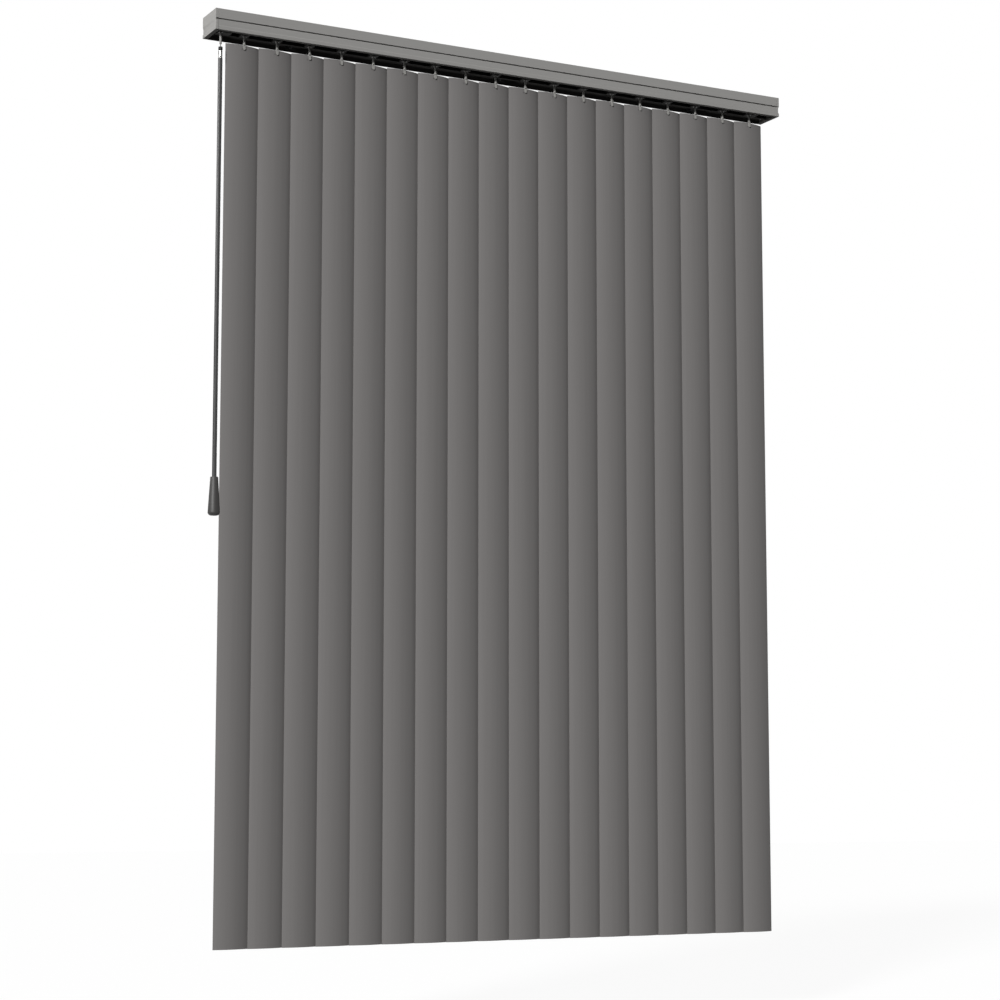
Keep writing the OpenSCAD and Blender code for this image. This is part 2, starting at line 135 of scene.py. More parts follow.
# Black zinc: a thin dark plating, faintly mottled.
black_zinc = empty_material("black_zinc")
place = add_node(black_zinc, "ShaderNodeTexCoord").outputs["Object"]
mottle = add_node(black_zinc, "ShaderNodeTexNoise", {"Vector": place, "Scale": 1 / 0.002, "Detail": 2.0})
tint = add_node(black_zinc, "ShaderNodeMix", {
    "Factor": mottle.outputs["Fac"], "A": linear("#1c1c1d"), "B": linear("#29292b")}, data_type="RGBA")
shader = add_node(black_zinc, "ShaderNodeBsdfPrincipled", {
    "Base Color": tint.outputs["Result"], "Metallic": 0.6, "Roughness": 0.5})
add_node(black_zinc, "ShaderNodeOutputMaterial", {"Surface": shader.outputs["BSDF"]})

screw_outline = [(0, SCREW_END), (SCREW_R, SCREW_END), (SCREW_R, SCREW_SEAT)]
screw_outline += [(r, SCREW_SEAT + h) for r, h in PAN_HEAD]
for side, name in ((-1, "left"), (0, "middle"), (1, "right")):
    screws = bmesh.new()
    for level in (-SCREW_Z, SCREW_Z):
        screw = add_lathe(screws, screw_outline)
        bmesh.ops.rotate(screws, cent=(0, 0, 0), matrix=Matrix.Rotation(pi / 2, 3, "X"), verts=screw)
        bmesh.ops.translate(screws, vec=(SCREW_X * side, 0, level), verts=screw)
    add_piece(screws, f"wall_screws_{name}", black_zinc, "bracket_steel", "frame")

# Headrail and rear panel: an extruded aluminium channel with a slot along its underside, and the flat strip
# that closes the back of the valance. Both are stove enamelled in a dark grey that hides the mechanism.

# Stove enamel: flat, with the faint orange peel of a sprayed film, drawn at 3 mm so that it shows.
enamel = empty_material("stove_enamel")
place = add_node(enamel, "ShaderNodeTexCoord").outputs["Object"]
cloud = add_node(enamel, "ShaderNodeTexNoise", {"Vector": place, "Scale": 1 / 0.06, "Detail": 2.0})
tint = add_node(enamel, "ShaderNodeMix", {
    "Factor": cloud.outputs["Fac"], "A": linear("#282726"), "B": linear("#2e2d2c")}, data_type="RGBA")
peel = add_node(enamel, "ShaderNodeTexNoise", {"Vector": place, "Scale": 1 / 0.003, "Detail": 1.0})
skin = add_node(enamel, "ShaderNodeBump", {
    "Height": peel.outputs["Fac"], "Strength": 0.15, "Distance": 0.0002})
shader = add_node(enamel, "ShaderNodeBsdfPrincipled", {
    "Base Color": tint.outputs["Result"], "Roughness": 0.8, "Specular IOR Level": 0.05,
    "Normal": skin.outputs["Normal"]})
add_node(enamel, "ShaderNodeOutputMaterial", {"Surface": shader.outputs["BSDF"]})
paint(enamel, "headrail", "rear_panel")

# End caps: a plate with a plug that closes each end of the rail and carries the tilt rod in a blind bearing.
# They are moulded in ABS with a fine spark-eroded grain.

# Moulded ABS: grain of about 0.5 mm, drawn at 2 mm so that it shows.
moulded_abs = empty_material("moulded_abs")
place = add_node(moulded_abs, "ShaderNodeTexCoord").outputs["Object"]
grain = add_node(moulded_abs, "ShaderNodeTexNoise", {"Vector": place, "Scale": 1 / 0.002, "Detail": 3.0})
tint = add_node(moulded_abs, "ShaderNodeMix", {
    "Factor": grain.outputs["Fac"], "A": linear("#232221"), "B": linear("#2b2a29")}, data_type="RGBA")
pits = add_node(moulded_abs, "ShaderNodeBump", {
    "Height": grain.outputs["Fac"], "Strength": 0.25, "Distance": 0.0003})
shader = add_node(moulded_abs, "ShaderNodeBsdfPrincipled", {
    "Base Color": tint.outputs["Result"], "Roughness": 0.6, "Specular IOR Level": 0.15,
    "Normal": pits.outputs["Normal"]})
add_node(moulded_abs, "ShaderNodeOutputMaterial", {"Surface": shader.outputs["BSDF"]})
paint(moulded_abs, "end_cap_left", "end_cap_right")

# Tilt rod: a drawn aluminium rod with four flutes that runs through every carrier and turns them all.
# Drawing leaves fine bright lines along its length.

# Drawn aluminium: lines along X, 0.4 mm apart and as long as a hand.
drawn_alloy = empty_material("drawn_aluminium")
place = add_node(drawn_alloy, "ShaderNodeTexCoord").outputs["Object"]
along = add_node(drawn_alloy, "ShaderNodeMapping", {
    "Vector": place, "Scale": (1 / 0.15, 1 / 0.0004, 1 / 0.0004)})
lines = add_node(drawn_alloy, "ShaderNodeTexNoise", {"Vector": along.outputs["Vector"], "Scale": 1.0})
tint = add_node(drawn_alloy, "ShaderNodeMix", {
    "Factor": lines.outputs["Fac"], "A": linear("#b4b6b8"), "B": linear("#cfd1d2")}, data_type="RGBA")
polish = add_node(drawn_alloy, "ShaderNodeMapRange", {
    "Value": lines.outputs["Fac"], "To Min": 0.25, "To Max": 0.4})
shader = add_node(drawn_alloy, "ShaderNodeBsdfPrincipled", {
    "Base Color": tint.outputs["Result"], "Metallic": 1.0, "Roughness": polish.outputs["Result"]})
add_node(drawn_alloy, "ShaderNodeOutputMaterial", {"Surface": shader.outputs["BSDF"]})
paint(drawn_alloy, "tilt_rod")

# Carriers: a small housing on wheels for each vane, the longer one that holds the wand, and the stop at the
# end of the rail. They are moulded in acetal, which is slippery and has a waxy shine.
VANE_COUNT = 18

# Moulded acetal: waxy, with a slight cloud about 8 mm across.
acetal = empty_material("moulded_acetal")
place = add_node(acetal, "ShaderNodeTexCoord").outputs["Object"]
cloud = add_node(acetal, "ShaderNodeTexNoise", {"Vector": place, "Scale": 1 / 0.008, "Detail": 2.0})
tint = add_node(acetal, "ShaderNodeMix", {
    "Factor": cloud.outputs["Fac"], "A": linear("#1b1a19"), "B": linear("#232221")}, data_type="RGBA")
shader = add_node(acetal, "ShaderNodeBsdfPrincipled", {
    "Base Color": tint.outputs["Result"], "Roughness": 0.7, "IOR": 1.48, "Specular IOR Level": 0.08})
add_node(acetal, "ShaderNodeOutputMaterial", {"Surface": shader.outputs["BSDF"]})
paint(acetal, "wand_carrier", "stack_stop", *[f"carrier_{k:02d}" for k in range(1, VANE_COUNT + 1)])

# Vanes: eighteen curved strips of extruded PVC with a slot punched near the top. Each one hangs on a moulded
# stem whose hook passes through the slot, and its edge overlaps the next vane's.
VANE_WIDTH, VANE_BOW, VANE_THICK, VANE_OVERLAP = 89.0, 7.5, 0.8, 6.5
VANE_TOP, VANE_LENGTH, CLOSED_TURN = -39.0, 2070.0, 5.5
STRIP_TOP = VANE_TOP + 1.3  # the strip stands up into the head of its stem
VANE_RADIUS = (VANE_WIDTH ** 2 / 4 + VANE_BOW ** 2) / (2 * VANE_BOW)
VANE_HALF = asin(VANE_WIDTH / 2 / VANE_RADIUS)
VANE_PITCH = VANE_WIDTH - VANE_OVERLAP
FIRST_STEM_X, STEM_Y = -697.25, -56.0
SLOT_WIDTH, SLOT_TOP, SLOT_FOOT = 12.0, VANE_TOP - 7.0, VANE_TOP - 11.0
NEAR = 1e-5  # a point this close to a cut lies on it

# The stem's fork holds the strip between a front tongue and a wider back plate, with the hook between them.
STEM_TOP, TIP_R, TIP_LENGTH, SHANK_R, SHANK_FOOT = -3.8, 2.3, 0.6, 2.8, -36.0
COLLAR_R, COLLAR_TOP, COLLAR_FOOT, COLLAR_EDGE = 4.5, -16.6, -17.6, 0.2
HEAD_HALF, HEAD_TOP, HEAD_FOOT, HEAD_ROUND = 2.3, VANE_TOP + 5.3, VANE_TOP + 0.3, 0.5
FORK_HALF, FORK_GAP, FORK_ROOT, FORK_ROUND = 3.0, 0.7, VANE_TOP + 1.0, 0.3
TONGUE_FOOT, TONGUE_THICK, PLATE_MARGIN = -48.7, 1.6, 1.5
HOOK_HALF, HOOK_TOP, HOOK_FOOT = 1.5, SLOT_TOP - 0.1, SLOT_TOP - 2.7


def add_block(bm, low, high, rounding):
    """A block between two corners, with its edges rounded."""
    verts = bmesh.ops.create_cube(bm, size=1.0)["verts"]
    bmesh.ops.scale(bm, vec=Vector(high) - Vector(low), verts=verts)
    bmesh.ops.translate(bm, vec=(Vector(high) + Vector(low)) / 2, verts=verts)
    edges = list(dict.fromkeys(e for v in verts for e in v.link_edges))  # each edge once, in a fixed order
    bmesh.ops.bevel(bm, geom=edges, offset=rounding, offset_type="OFFSET", affect="EDGES", segments=2,
                    profile=0.5, material=-1, clamp_overlap=True)


def push_out(bm, face, by):
    """Extrudes a face."""
    moved = bmesh.ops.extrude_face_region(bm, geom=[face])["geom"]
    bmesh.ops.translate(bm, vec=by, verts=[g for g in moved if isinstance(g, bmesh.types.BMVert)])


def vane_strip():
    """One strip about its stem's axis: an upright edge spun through the bow, with the hook slot cut out. The
    fork's back plate is made in this piece so that it takes the strip's darker grey, not the stem's pale
    acetal: painted shade in the slot around the hook."""
    bm = bmesh.new()
    length = STRIP_TOP - VANE_TOP + VANE_LENGTH
    edge = bmesh.ops.create_grid(bm, x_segments=1, y_segments=1, size=0.5)["verts"]
    bmesh.ops.scale(bm, vec=(VANE_THICK, length, 1), verts=edge)
    bmesh.ops.rotate(bm, cent=(0, 0, 0), matrix=Matrix.Rotation(pi / 2, 3, "X"), verts=edge)
    bmesh.ops.translate(bm, vec=(VANE_RADIUS, 0, STRIP_TOP - length / 2), verts=edge)
    bmesh.ops.rotate(bm, cent=(0, 0, 0), matrix=Matrix.Rotation(-pi / 2 - VANE_HALF, 3, "Z"), verts=edge)
    bmesh.ops.spin(bm, geom=bm.faces[:], cent=(0, 0, 0), axis=(0, 0, 1), angle=2 * VANE_HALF, steps=32)
    bmesh.ops.translate(bm, vec=(0, VANE_RADIUS, 0), verts=bm.verts)
    for point, normal in (((SLOT_WIDTH / 2, 0, 0), (1, 0, 0)), ((-SLOT_WIDTH / 2, 0, 0), (1, 0, 0)),
                          ((0, 0, SLOT_TOP), (0, 0, 1)), ((0, 0, SLOT_FOOT), (0, 0, 1))):
        bmesh.ops.bisect_plane(bm, geom=bm.verts[:] + bm.edges[:] + bm.faces[:], dist=NEAR,
                               plane_co=point, plane_no=normal)
    punched = [f for f in bm.faces if abs(f.calc_center_median().x) < SLOT_WIDTH / 2
               and SLOT_FOOT < f.calc_center_median().z < SLOT_TOP and abs(f.normal.z) < 0.5]
    bmesh.ops.delete(bm, geom=punched, context="FACES")
    bmesh.ops.bridge_loops(bm, edges=[e for e in bm.edges if e.is_boundary])
    # The back plate in the strip's grey: painted shade seen through the slot, on top of the real shade there.
    plate_half = SLOT_WIDTH / 2 + PLATE_MARGIN
    add_block(bm, (-plate_half, FORK_GAP, SLOT_FOOT - PLATE_MARGIN),
              (plate_half, FORK_GAP + TONGUE_THICK, FORK_ROOT), FORK_ROUND)
    return bm


def vane_stem():
    """One stem about its axis: a turned shank with a collar, the fork's head, its front tongue with a round
    foot, and the hook."""
    bm = bmesh.new()
    add_lathe(bm, [
        (0, STEM_TOP), (TIP_R, STEM_TOP), (SHANK_R, STEM_TOP - TIP_LENGTH), (SHANK_R, COLLAR_TOP),
        (COLLAR_R - COLLAR_EDGE, COLLAR_TOP), (COLLAR_R, COLLAR_TOP - COLLAR_EDGE),
        (COLLAR_R, COLLAR_FOOT + COLLAR_EDGE), (COLLAR_R - COLLAR_EDGE, COLLAR_FOOT),
        (SHANK_R, COLLAR_FOOT), (SHANK_R, SHANK_FOOT), (0, SHANK_FOOT)])
    add_block(bm, (-FORK_HALF, -HEAD_HALF, HEAD_FOOT), (FORK_HALF, HEAD_HALF, HEAD_TOP), HEAD_ROUND)
    tongue = bmesh.ops.create_circle(bm, cap_ends=True, segments=24, radius=FORK_HALF)["verts"]
    bmesh.ops.rotate(bm, cent=(0, 0, 0), matrix=Matrix.Rotation(pi / 2, 3, "X"), verts=tongue)
    round_centre = TONGUE_FOOT + FORK_HALF
    upper_half = [v for v in tongue if v.co.z > WELD]
    bmesh.ops.translate(bm, vec=(0, 0, FORK_ROOT - round_centre), verts=upper_half)
    bmesh.ops.translate(bm, vec=(0, -FORK_GAP, round_centre), verts=tongue)
    push_out(bm, tongue[0].link_faces[0], (0, -TONGUE_THICK, 0))
    add_block(bm, (-HOOK_HALF, -HOOK_HALF, HOOK_FOOT), (HOOK_HALF, HOOK_HALF, HOOK_TOP), FORK_ROUND)
    return bm


# Extruded PVC: satin, with faint draw lines down the strip and a fine emboss of about 0.4 mm, which is
# drawn at 2.5 mm so that it shows.
vane_pvc = empty_material("extruded_pvc")
place = add_node(vane_pvc, "ShaderNodeTexCoord").outputs["Object"]
down = add_node(vane_pvc, "ShaderNodeMapping", {"Vector": place, "Scale": (1 / 0.003, 1 / 0.003, 1 / 0.6)})
draw_lines = add_node(vane_pvc, "ShaderNodeTexNoise", {"Vector": down.outputs["Vector"], "Scale": 1.0})
tint = add_node(vane_pvc, "ShaderNodeMix", {
    "Factor": draw_lines.outputs["Fac"], "A": linear("#686665"), "B": linear("#6e6c6b")}, data_type="RGBA")
emboss = add_node(vane_pvc, "ShaderNodeTexNoise", {
    "Vector": place, "Scale": 1 / 0.0025, "Detail": 2.0, "Roughness": 0.6})
relief = add_node(vane_pvc, "ShaderNodeBump", {
    "Height": emboss.outputs["Fac"], "Strength": 0.06, "Distance": 0.0004})
shader = add_node(vane_pvc, "ShaderNodeBsdfPrincipled", {
    "Base Color": tint.outputs["Result"], "Roughness": 0.55, "IOR": 1.53, "Specular IOR Level": 0.2,
    "Normal": relief.outputs["Normal"]})
add_node(vane_pvc, "ShaderNodeOutputMaterial", {"Surface": shader.outputs["BSDF"]})

# Stems are moulded in a paler, slightly clear acetal, with a cloud about 5 mm across.
stem_acetal = empty_material("pale_acetal")
place = add_node(stem_acetal, "ShaderNodeTexCoord").outputs["Object"]
cloud = add_node(stem_acetal, "ShaderNodeTexNoise", {"Vector": place, "Scale": 1 / 0.005, "Detail": 2.0})
tint = add_node(stem_acetal, "ShaderNodeMix", {
    "Factor": cloud.outputs["Fac"], "A": linear("#858481"), "B": linear("#91908d")}, data_type="RGBA")
shader = add_node(stem_acetal, "ShaderNodeBsdfPrincipled", {
    "Base Color": tint.outputs["Result"], "Roughness": 0.4, "IOR": 1.48, "Specular IOR Level": 0.3})
add_node(stem_acetal, "ShaderNodeOutputMaterial", {"Surface": shader.outputs["BSDF"]})

closed = Matrix.Rotation(radians(CLOSED_TURN), 4, "Z")
for k in range(1, VANE_COUNT + 1):
    body = f"vane_{k:02d}"
    hang = Matrix.Translation((FIRST_STEM_X + VANE_PITCH * (k - 1), STEM_Y, 0)) @ closed
    strip = vane_strip()
    strip.transform(hang)
    add_piece(strip, f"vane_strip_{k:02d}", vane_pvc, "vane_pvc", body, body)
    stem = vane_stem()
    stem.transform(hang)
    add_piece(stem, f"vane_stem_{k:02d}", stem_acetal, "vane_pvc", body)

# Wand: an eight-sided rod of tinted acrylic with a tapered grip, hung by a knuckle from a stem in the leading
# carrier. The grip is pulled to draw the blind and twisted to turn the vanes.
WAND_X, WAND_Y = -758.25, -63.0
ROD_TOP, ROD_FOOT, ROD_R, ROD_EDGE = -78.6, -1053.6, 5.6, 0.35
GRIP_TOP, GRIP_TOP_R, GRIP_TOP_ROUND = ROD_FOOT, 9.1, 2.0
GRIP_BEND, GRIP_BEND_R = 21.5, 13.05  # where the taper eases, above the foot
GRIP_FOOT, GRIP_FOOT_R, GRIP_FOOT_ROUND = -1142.1, 13.85, 7.5

# The wand's stem is moulded in the same acetal as the vanes' stems, with the same cloud; its darker grey tint
# is painted shade.
shade_painted_acetal = empty_material("shade_painted_acetal")
place = add_node(shade_painted_acetal, "ShaderNodeTexCoord").outputs["Object"]
cloud = add_node(shade_painted_acetal, "ShaderNodeTexNoise", {"Vector": place, "Scale": 1 / 0.005, "Detail": 2.0})
# Painted shade: this tint is darker than the vanes' stem acetal.
tint = add_node(shade_painted_acetal, "ShaderNodeMix", {
    "Factor": cloud.outputs["Fac"], "A": linear("#72716f"), "B": linear("#7c7b79")}, data_type="RGBA")
shader = add_node(shade_painted_acetal, "ShaderNodeBsdfPrincipled", {
    "Base Color": tint.outputs["Result"], "Roughness": 0.4, "IOR": 1.48, "Specular IOR Level": 0.3})
add_node(shade_painted_acetal, "ShaderNodeOutputMaterial", {"Surface": shader.outputs["BSDF"]})
paint(shade_painted_acetal, "wand_stem")

# Coupling: a black nylon socket that snaps over the ball, and the pin that holds the ferrule in it, with the
# dull shine of small mouldings.
black_nylon = empty_material("black_nylon")
place = add_node(black_nylon, "ShaderNodeTexCoord").outputs["Object"]
grain = add_node(black_nylon, "ShaderNodeTexNoise", {"Vector": place, "Scale": 1 / 0.001, "Detail": 2.0})
tint = add_node(black_nylon, "ShaderNodeMix", {
    "Factor": grain.outputs["Fac"], "A": linear("#0d0d0d"), "B": linear("#161616")}, data_type="RGBA")
shader = add_node(black_nylon, "ShaderNodeBsdfPrincipled", {
    "Base Color": tint.outputs["Result"], "Roughness": 0.45, "IOR": 1.53, "Specular IOR Level": 0.15})
add_node(black_nylon, "ShaderNodeOutputMaterial", {"Surface": shader.outputs["BSDF"]})
paint(black_nylon, "wand_coupling", "wand_pin")

# Ferrule: brass under a silver lacquer, with fine turning marks drawn 1 mm apart so that they show.
silver_lacquer = empty_material("silver_lacquer")
place = add_node(silver_lacquer, "ShaderNodeTexCoord").outputs["Object"]
marks = add_node(silver_lacquer, "ShaderNodeMapping", {
    "Vector": place, "Scale": (1 / 0.02, 1 / 0.02, 1 / 0.001)})
turning = add_node(silver_lacquer, "ShaderNodeTexNoise", {"Vector": marks.outputs["Vector"], "Scale": 1.0})
tint = add_node(silver_lacquer, "ShaderNodeMix", {
    "Factor": turning.outputs["Fac"], "A": linear("#6c6c6a"), "B": linear("#787876")}, data_type="RGBA")
gleam = add_node(silver_lacquer, "ShaderNodeMapRange", {
    "Value": turning.outputs["Fac"], "To Min": 0.2, "To Max": 0.32})
shader = add_node(silver_lacquer, "ShaderNodeBsdfPrincipled", {
    "Base Color": tint.outputs["Result"], "Metallic": 1.0, "Roughness": gleam.outputs["Result"]})
add_node(silver_lacquer, "ShaderNodeOutputMaterial", {"Surface": shader.outputs["BSDF"]})
paint(silver_lacquer, "wand_ferrule")

# Tinted acrylic: a clear grey extrusion with a hard polish and faint draw lines down its length.
acrylic = empty_material("tinted_acrylic")
place = add_node(acrylic, "ShaderNodeTexCoord").outputs["Object"]
down = add_node(acrylic, "ShaderNodeMapping", {"Vector": place, "Scale": (1 / 0.002, 1 / 0.002, 1 / 0.4)})
draw_lines = add_node(acrylic, "ShaderNodeTexNoise", {"Vector": down.outputs["Vector"], "Scale": 1.0})
tint = add_node(acrylic, "ShaderNodeMix", {
    "Factor": draw_lines.outputs["Fac"], "A": linear("#2f2f2f"), "B": linear("#3a3a3a")}, data_type="RGBA")
shader = add_node(acrylic, "ShaderNodeBsdfPrincipled", {
    "Base Color": tint.outputs["Result"], "Roughness": 0.3, "IOR": 1.49, "Specular IOR Level": 0.25})
add_node(acrylic, "ShaderNodeOutputMaterial", {"Surface": shader.outputs["BSDF"]})

rod = bmesh.new()
bmesh.ops.create_cone(rod, cap_ends=True, segments=8, radius1=ROD_R, radius2=ROD_R, depth=ROD_TOP - ROD_FOOT)
long_edges = [e for e in rod.edges if abs(e.verts[0].co.z - e.verts[1].co.z) > ROD_R]
bmesh.ops.bevel(rod, geom=long_edges, offset=ROD_EDGE, offset_type="OFFSET", affect="EDGES", segments=2,
                profile=0.5, material=-1)
bmesh.ops.translate(rod, vec=(WAND_X, WAND_Y, (ROD_TOP + ROD_FOOT) / 2), verts=rod.verts)
rod_piece = add_piece(rod, "wand_rod_bar", acrylic, "wand_grey", "wand", "wand_rod")

# Grip: moulded in grey PVC with a soft satin skin, pressed on to the end of the rod.
satin_grip = empty_material("satin_grip_pvc")
place = add_node(satin_grip, "ShaderNodeTexCoord").outputs["Object"]
grain = add_node(satin_grip, "ShaderNodeTexNoise", {"Vector": place, "Scale": 1 / 0.0015, "Detail": 2.0})
tint = add_node(satin_grip, "ShaderNodeMix", {
    "Factor": grain.outputs["Fac"], "A": linear("#232221"), "B": linear("#2b2a29")}, data_type="RGBA")
pits = add_node(satin_grip, "ShaderNodeBump", {
    "Height": grain.outputs["Fac"], "Strength": 0.1, "Distance": 0.0002})
shader = add_node(satin_grip, "ShaderNodeBsdfPrincipled", {
    "Base Color": tint.outputs["Result"], "Roughness": 0.54, "IOR": 1.53, "Specular IOR Level": 0.4,
    "Normal": pits.outputs["Normal"]})
add_node(satin_grip, "ShaderNodeOutputMaterial", {"Surface": shader.outputs["BSDF"]})

# Its outline has a quarter round at the foot, in steps of 10 degrees, and one of two flats at the top.
grip_outline = [(0, GRIP_FOOT)]
for angle in [radians(10 * step) for step in range(10)]:
    grip_outline.append((GRIP_FOOT_R - GRIP_FOOT_ROUND * (1 - sin(angle)),
                         GRIP_FOOT + GRIP_FOOT_ROUND * (1 - cos(angle))))
grip_outline += [(GRIP_BEND_R, GRIP_FOOT + GRIP_BEND), (GRIP_TOP_R, GRIP_TOP - GRIP_TOP_ROUND),
                 (GRIP_TOP_R - 0.2 * GRIP_TOP_ROUND, GRIP_TOP - 0.4 * GRIP_TOP_ROUND),
                 (GRIP_TOP_R - GRIP_TOP_ROUND, GRIP_TOP), (0, GRIP_TOP)]
grip = bmesh.new()
add_lathe(grip, grip_outline, steps=64)
bmesh.ops.translate(grip, vec=(WAND_X, WAND_Y, 0), verts=grip.verts)
grip_piece = add_piece(grip, "wand_grip", satin_grip, "handle_grey", "wand", "wand_handle")

# In the photograph the wand leaves no shadow on the vane behind it.
for piece in (rod_piece, grip_piece):
    piece.visible_shadow = piece.visible_diffuse = False

# Valance: a front board and two returns extruded in foamed PVC, with a proud band, a shadow groove and a lip
# along the foot. The boards are mitred, and a short piece makes each front corner, a joint's width off the
# front board.
BOARD_HALF, BOARD_FRONT, BOARD_FOOT = 779.0, -86.0, -18.0
CORNER, JOINT_GAP, EDGE_ROUND = 7.0, 0.6, 0.4
OUTWARD = radians(40)  # an outward fold sharper than this is rounded

# A board's section is an outline of (depth, height). The returns have a slope where the front has its groove.
BOARD_HEIGHT, BAND_FOOT, GROOVE_FOOT, SLOPE_FOOT = 50.0, 27.0, 23.8, 20.0
FOOT_BAND, FOOT_SLOPE, LIP_DEPTH, LIP_THICK = 8.5, 1.0, 11.0, 2.0
SETBACK, GROOVE_DEPTH, WALL, GROOVE_WALL = 1.4, 3.4, 2.2, 1.8
UPPER_BAND = [(0, BOARD_HEIGHT), (0, BAND_FOOT)]
GROOVE = [(GROOVE_DEPTH, BAND_FOOT), (GROOVE_DEPTH, GROOVE_FOOT), (SETBACK, GROOVE_FOOT)]
SLOPE = [(SETBACK, SLOPE_FOOT)]
LOWER_BAND = [
    (SETBACK, FOOT_BAND + FOOT_SLOPE), (0, FOOT_BAND), (0, 0), (LIP_DEPTH, 0), (LIP_DEPTH, LIP_THICK),
    (SETBACK + WALL, LIP_THICK), (SETBACK + WALL, GROOVE_FOOT - GROOVE_WALL),
    (GROOVE_DEPTH + WALL, GROOVE_FOOT - GROOVE_WALL), (GROOVE_DEPTH + WALL, BAND_FOOT + GROOVE_WALL),
    (WALL, BAND_FOOT + GROOVE_WALL), (WALL, BOARD_HEIGHT)]


def board(start, end, below_band):
    """A length of the valance along X, from its section of (depth, height)."""
    bm = bmesh.new()
    outline = UPPER_BAND + below_band + LOWER_BAND
    section = bm.faces.new([bm.verts.new((start, BOARD_FRONT + d, BOARD_FOOT + h)) for d, h in outline])
    push_out(bm, section, (end - start, 0, 0))
    return bm


def mitre(bm, corner, away):
    """Cuts a board's end off along the mitre through a corner and closes it."""
    bmesh.ops.bisect_plane(bm, geom=bm.verts[:] + bm.edges[:] + bm.faces[:], dist=NEAR, plane_co=corner,
                           plane_no=away, clear_outer=True)
    bmesh.ops.holes_fill(bm, edges=[e for e in bm.edges if e.is_boundary])


def round_edges(bm):
    """Rounds the outward corners of a board."""
    bmesh.ops.recalc_face_normals(bm, faces=bm.faces)
    edges = [e for e in bm.edges if e.is_manifold and e.calc_face_angle_signed() > OUTWARD]
    bmesh.ops.bevel(bm, geom=edges, offset=EDGE_ROUND, offset_type="OFFSET", affect="EDGES", segments=2,
                    profile=0.5, material=-1, clamp_overlap=True)


# Foamed PVC with a satin skin: fine draw lines along the board about 1 mm apart.
foam_pvc = empty_material("foamed_pvc_board")
place = add_node(foam_pvc, "ShaderNodeTexCoord").outputs["Object"]
along = add_node(foam_pvc, "ShaderNodeMapping", {"Vector": place, "Scale": (1 / 0.3, 1 / 0.3, 1 / 0.001)})
draw_lines = add_node(foam_pvc, "ShaderNodeTexNoise", {"Vector": along.outputs["Vector"], "Scale": 1.0})
tint = add_node(foam_pvc, "ShaderNodeMix", {
    "Factor": draw_lines.outputs["Fac"], "A": linear("#878684"), "B": linear("#8d8c8a")}, data_type="RGBA")
relief = add_node(foam_pvc, "ShaderNodeBump", {
    "Height": draw_lines.outputs["Fac"], "Strength": 0.05, "Distance": 0.0003})
shader = add_node(foam_pvc, "ShaderNodeBsdfPrincipled", {
    "Base Color": tint.outputs["Result"], "Roughness": 0.65, "IOR": 1.53, "Specular IOR Level": 0.03,
    "Normal": relief.outputs["Normal"]})
add_node(foam_pvc, "ShaderNodeOutputMaterial", {"Surface": shader.outputs["BSDF"]})

left_corner, right_corner = (-BOARD_HALF, BOARD_FRONT, 0), (BOARD_HALF, BOARD_FRONT, 0)
front_half = BOARD_HALF - CORNER - JOINT_GAP
front = board(-front_half, front_half, GROOVE)
mitre(front, left_corner, (-1, 1, 0))
mitre(front, right_corner, (1, 1, 0))
round_edges(front)
add_piece(front, "valance_front_board", foam_pvc, "valance_pvc", "frame", "valance_front", boxy=True)

# Both ends are made at the left, where a return is a board with X and Y changed over, and then mirrored.
change_over = Matrix(((0, 1, 0, -BOARD_HALF - BOARD_FRONT), (1, 0, 0, BOARD_FRONT), (0, 0, 1, 0),
                      (0, 0, 0, 1)))
for side, name in ((-1, "left"), (1, "right")):
    corner = board(-BOARD_HALF, -BOARD_HALF + CORNER, GROOVE)
    mitre(corner, left_corner, (-1, 1, 0))
    side_board = board(0, -BOARD_FRONT, SLOPE)
    side_board.transform(change_over)
    mitre(side_board, left_corner, (1, -1, 0))
    for end_part in (corner, side_board):
        bmesh.ops.scale(end_part, vec=(-side, 1, 1), verts=end_part.verts)
        round_edges(end_part)
    add_piece(corner, f"valance_corner_{name}", foam_pvc, "valance_pvc", "frame", boxy=True)
    add_piece(side_board, f"valance_side_board_{name}", foam_pvc, "valance_pvc", "frame",
              f"valance_return_{name}", boxy=True)

# Valance clips: four angles moulded in a clear grey polycarbonate. They sit on the rail's top and reach
# forward to the back of the upper band.

# Grey polycarbonate: glossy, with a slight cloud about 10 mm across.
clip_plastic = empty_material("grey_polycarbonate")
place = add_node(clip_plastic, "ShaderNodeTexCoord").outputs["Object"]
cloud = add_node(clip_plastic, "ShaderNodeTexNoise", {"Vector": place, "Scale": 1 / 0.01})
tint = add_node(clip_plastic, "ShaderNodeMix", {
    "Factor": cloud.outputs["Fac"], "A": linear("#a9a9a7"), "B": linear("#b5b5b3")}, data_type="RGBA")
shader = add_node(clip_plastic, "ShaderNodeBsdfPrincipled", {
    "Base Color": tint.outputs["Result"], "Roughness": 0.25, "IOR": 1.58})
add_node(clip_plastic, "ShaderNodeOutputMaterial", {"Surface": shader.outputs["BSDF"]})
paint(clip_plastic, "valance_clips")

# Studio: a plain pale floor under the hanging blind, in a room that is white to the eye and to gloss and
# gives a low, even light. The floor keeps the blind's shadow.
FLOOR_Z, FLOOR_HALF = -2.32, 15.0
OWN_SHADE = 0.1  # the share of the floor's own shade that the eye sees
floor_bm = bmesh.new()
bmesh.ops.create_grid(floor_bm, x_segments=1, y_segments=1, size=FLOOR_HALF)
bmesh.ops.translate(floor_bm, vec=(0, 0, FLOOR_Z), verts=floor_bm.verts)
floor_mesh = bpy.data.meshes.new("studio_floor")
floor_bm.to_mesh(floor_mesh)
floor_bm.free()
floor = bpy.data.objects.new("studio_floor", floor_mesh)
bpy.context.scene.collection.objects.link(floor)


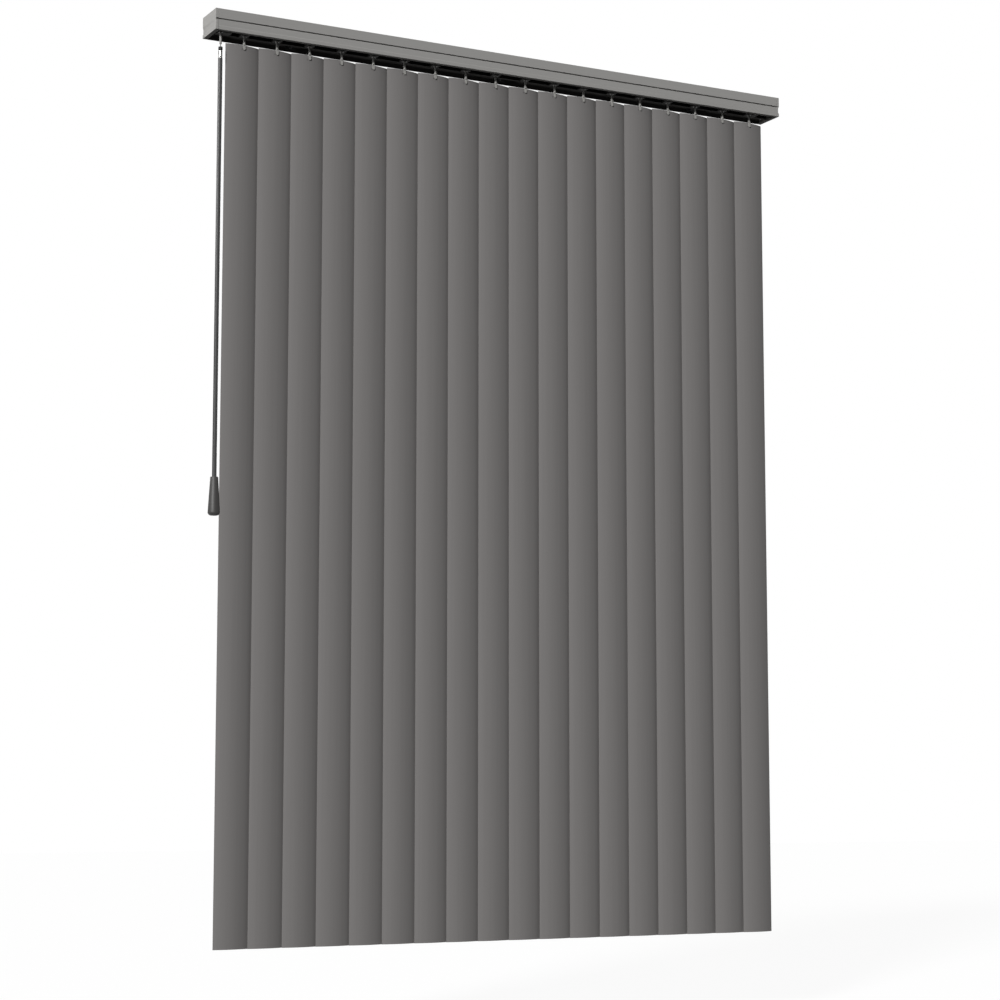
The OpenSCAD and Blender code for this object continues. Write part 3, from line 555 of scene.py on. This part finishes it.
def seen_direct(owner):
    """1 for a ray from the eye or off a mirror or through glass, 0 for light that falls on the blind."""
    rays = add_node(owner, "ShaderNodeLightPath")
    shiny = add_node(owner, "ShaderNodeMath", {
        0: rays.outputs["Is Glossy Ray"], 1: rays.outputs["Is Transmission Ray"]}, operation="MAXIMUM")
    return add_node(owner, "ShaderNodeMath", {
        0: rays.outputs["Is Camera Ray"], 1: shiny.outputs[0]}, operation="MAXIMUM").outputs[0]


# Painted floor: pale, white to the eye but for a tenth of its own shade, which keeps the blind's shadow, and
# darker to the light that it throws back.
floor_paint = empty_material("pale_floor_paint")
own = add_node(floor_paint, "ShaderNodeBsdfDiffuse", {"Color": linear("#f4f4f4")})
white = add_node(floor_paint, "ShaderNodeEmission", {"Color": (1, 1, 1, 1), "Strength": 1.0})
seen = add_node(floor_paint, "ShaderNodeMixShader", {
    0: 1 - OWN_SHADE, 1: own.outputs[0], 2: white.outputs[0]})
unseen = add_node(floor_paint, "ShaderNodeBsdfDiffuse", {"Color": linear("#3c3c3c")})
floor_mix = add_node(floor_paint, "ShaderNodeMixShader", {
    0: seen_direct(floor_paint), 1: unseen.outputs[0], 2: seen.outputs[0]})
add_node(floor_paint, "ShaderNodeOutputMaterial", {"Surface": floor_mix.outputs[0]})
floor_mesh.materials.append(floor_paint)

world = bpy.data.worlds.new("studio_room")
world.use_nodes = True
world.node_tree.nodes.clear()
room = add_node(world, "ShaderNodeBackground", {"Color": (1, 1, 1, 1), "Strength": 0.115})
backdrop = add_node(world, "ShaderNodeBackground", {"Color": (1, 1, 1, 1), "Strength": 1.0})
world_mix = add_node(world, "ShaderNodeMixShader", {
    0: seen_direct(world), 1: room.outputs[0], 2: backdrop.outputs[0]})
add_node(world, "ShaderNodeOutputWorld", {"Surface": world_mix.outputs[0]})
bpy.context.scene.world = world

# Lamps: a small key at the front left, so that the valance shades the tops of the stems, and a softer one
# behind for the back. A panel beside the rail lifts the left return.
# Each far lamp has its turn to the left of the front, height, strength and spread, with angles in degrees.
FAR_LAMPS = (("key_light", 48, 19.5, 4.3, 9), ("back_light", 200, 35, 2.4, 60))
PANEL_PLACE, PANEL_TARGET = Vector((-2.0, 0.35, 0.05)), Vector((-0.78, -0.04, 0.0))


def add_lamp(lamp, spot, towards):
    """Puts a lamp at a spot in the studio, so that its light comes from the direction towards."""
    source = bpy.data.objects.new(lamp.name, lamp)
    source.location = spot
    source.rotation_euler = towards.to_track_quat("Z", "Y").to_euler()
    bpy.context.scene.collection.objects.link(source)


for name, left, up, energy, spread in FAR_LAMPS:
    sun = bpy.data.lights.new(name, "SUN")
    sun.energy, sun.angle = energy, radians(spread)
    turn, rise = radians(left), radians(up)
    add_lamp(sun, (0, 0, 0), Vector((-sin(turn) * cos(rise), -cos(turn) * cos(rise), sin(rise))))
panel = bpy.data.lights.new("side_panel", "AREA")
panel.energy, panel.size = 8.3, 0.6
add_lamp(panel, PANEL_PLACE, PANEL_PLACE - PANEL_TARGET)

# Camera: low at the front left, where a fit to the edges of the vanes in the photograph puts it.
eye = bpy.data.cameras.new("photo_camera")
eye.lens, eye.sensor_width = 85.19, 36.0
camera = bpy.data.objects.new("photo_camera", eye)
camera.location = (-2.6458, -5.0622, -1.74745)
camera.rotation_euler = (radians(96.886), 0, radians(-27.629))
bpy.context.scene.collection.objects.link(camera)
bpy.context.scene.camera = camera
bpy.context.scene.view_settings.view_transform = "Standard"
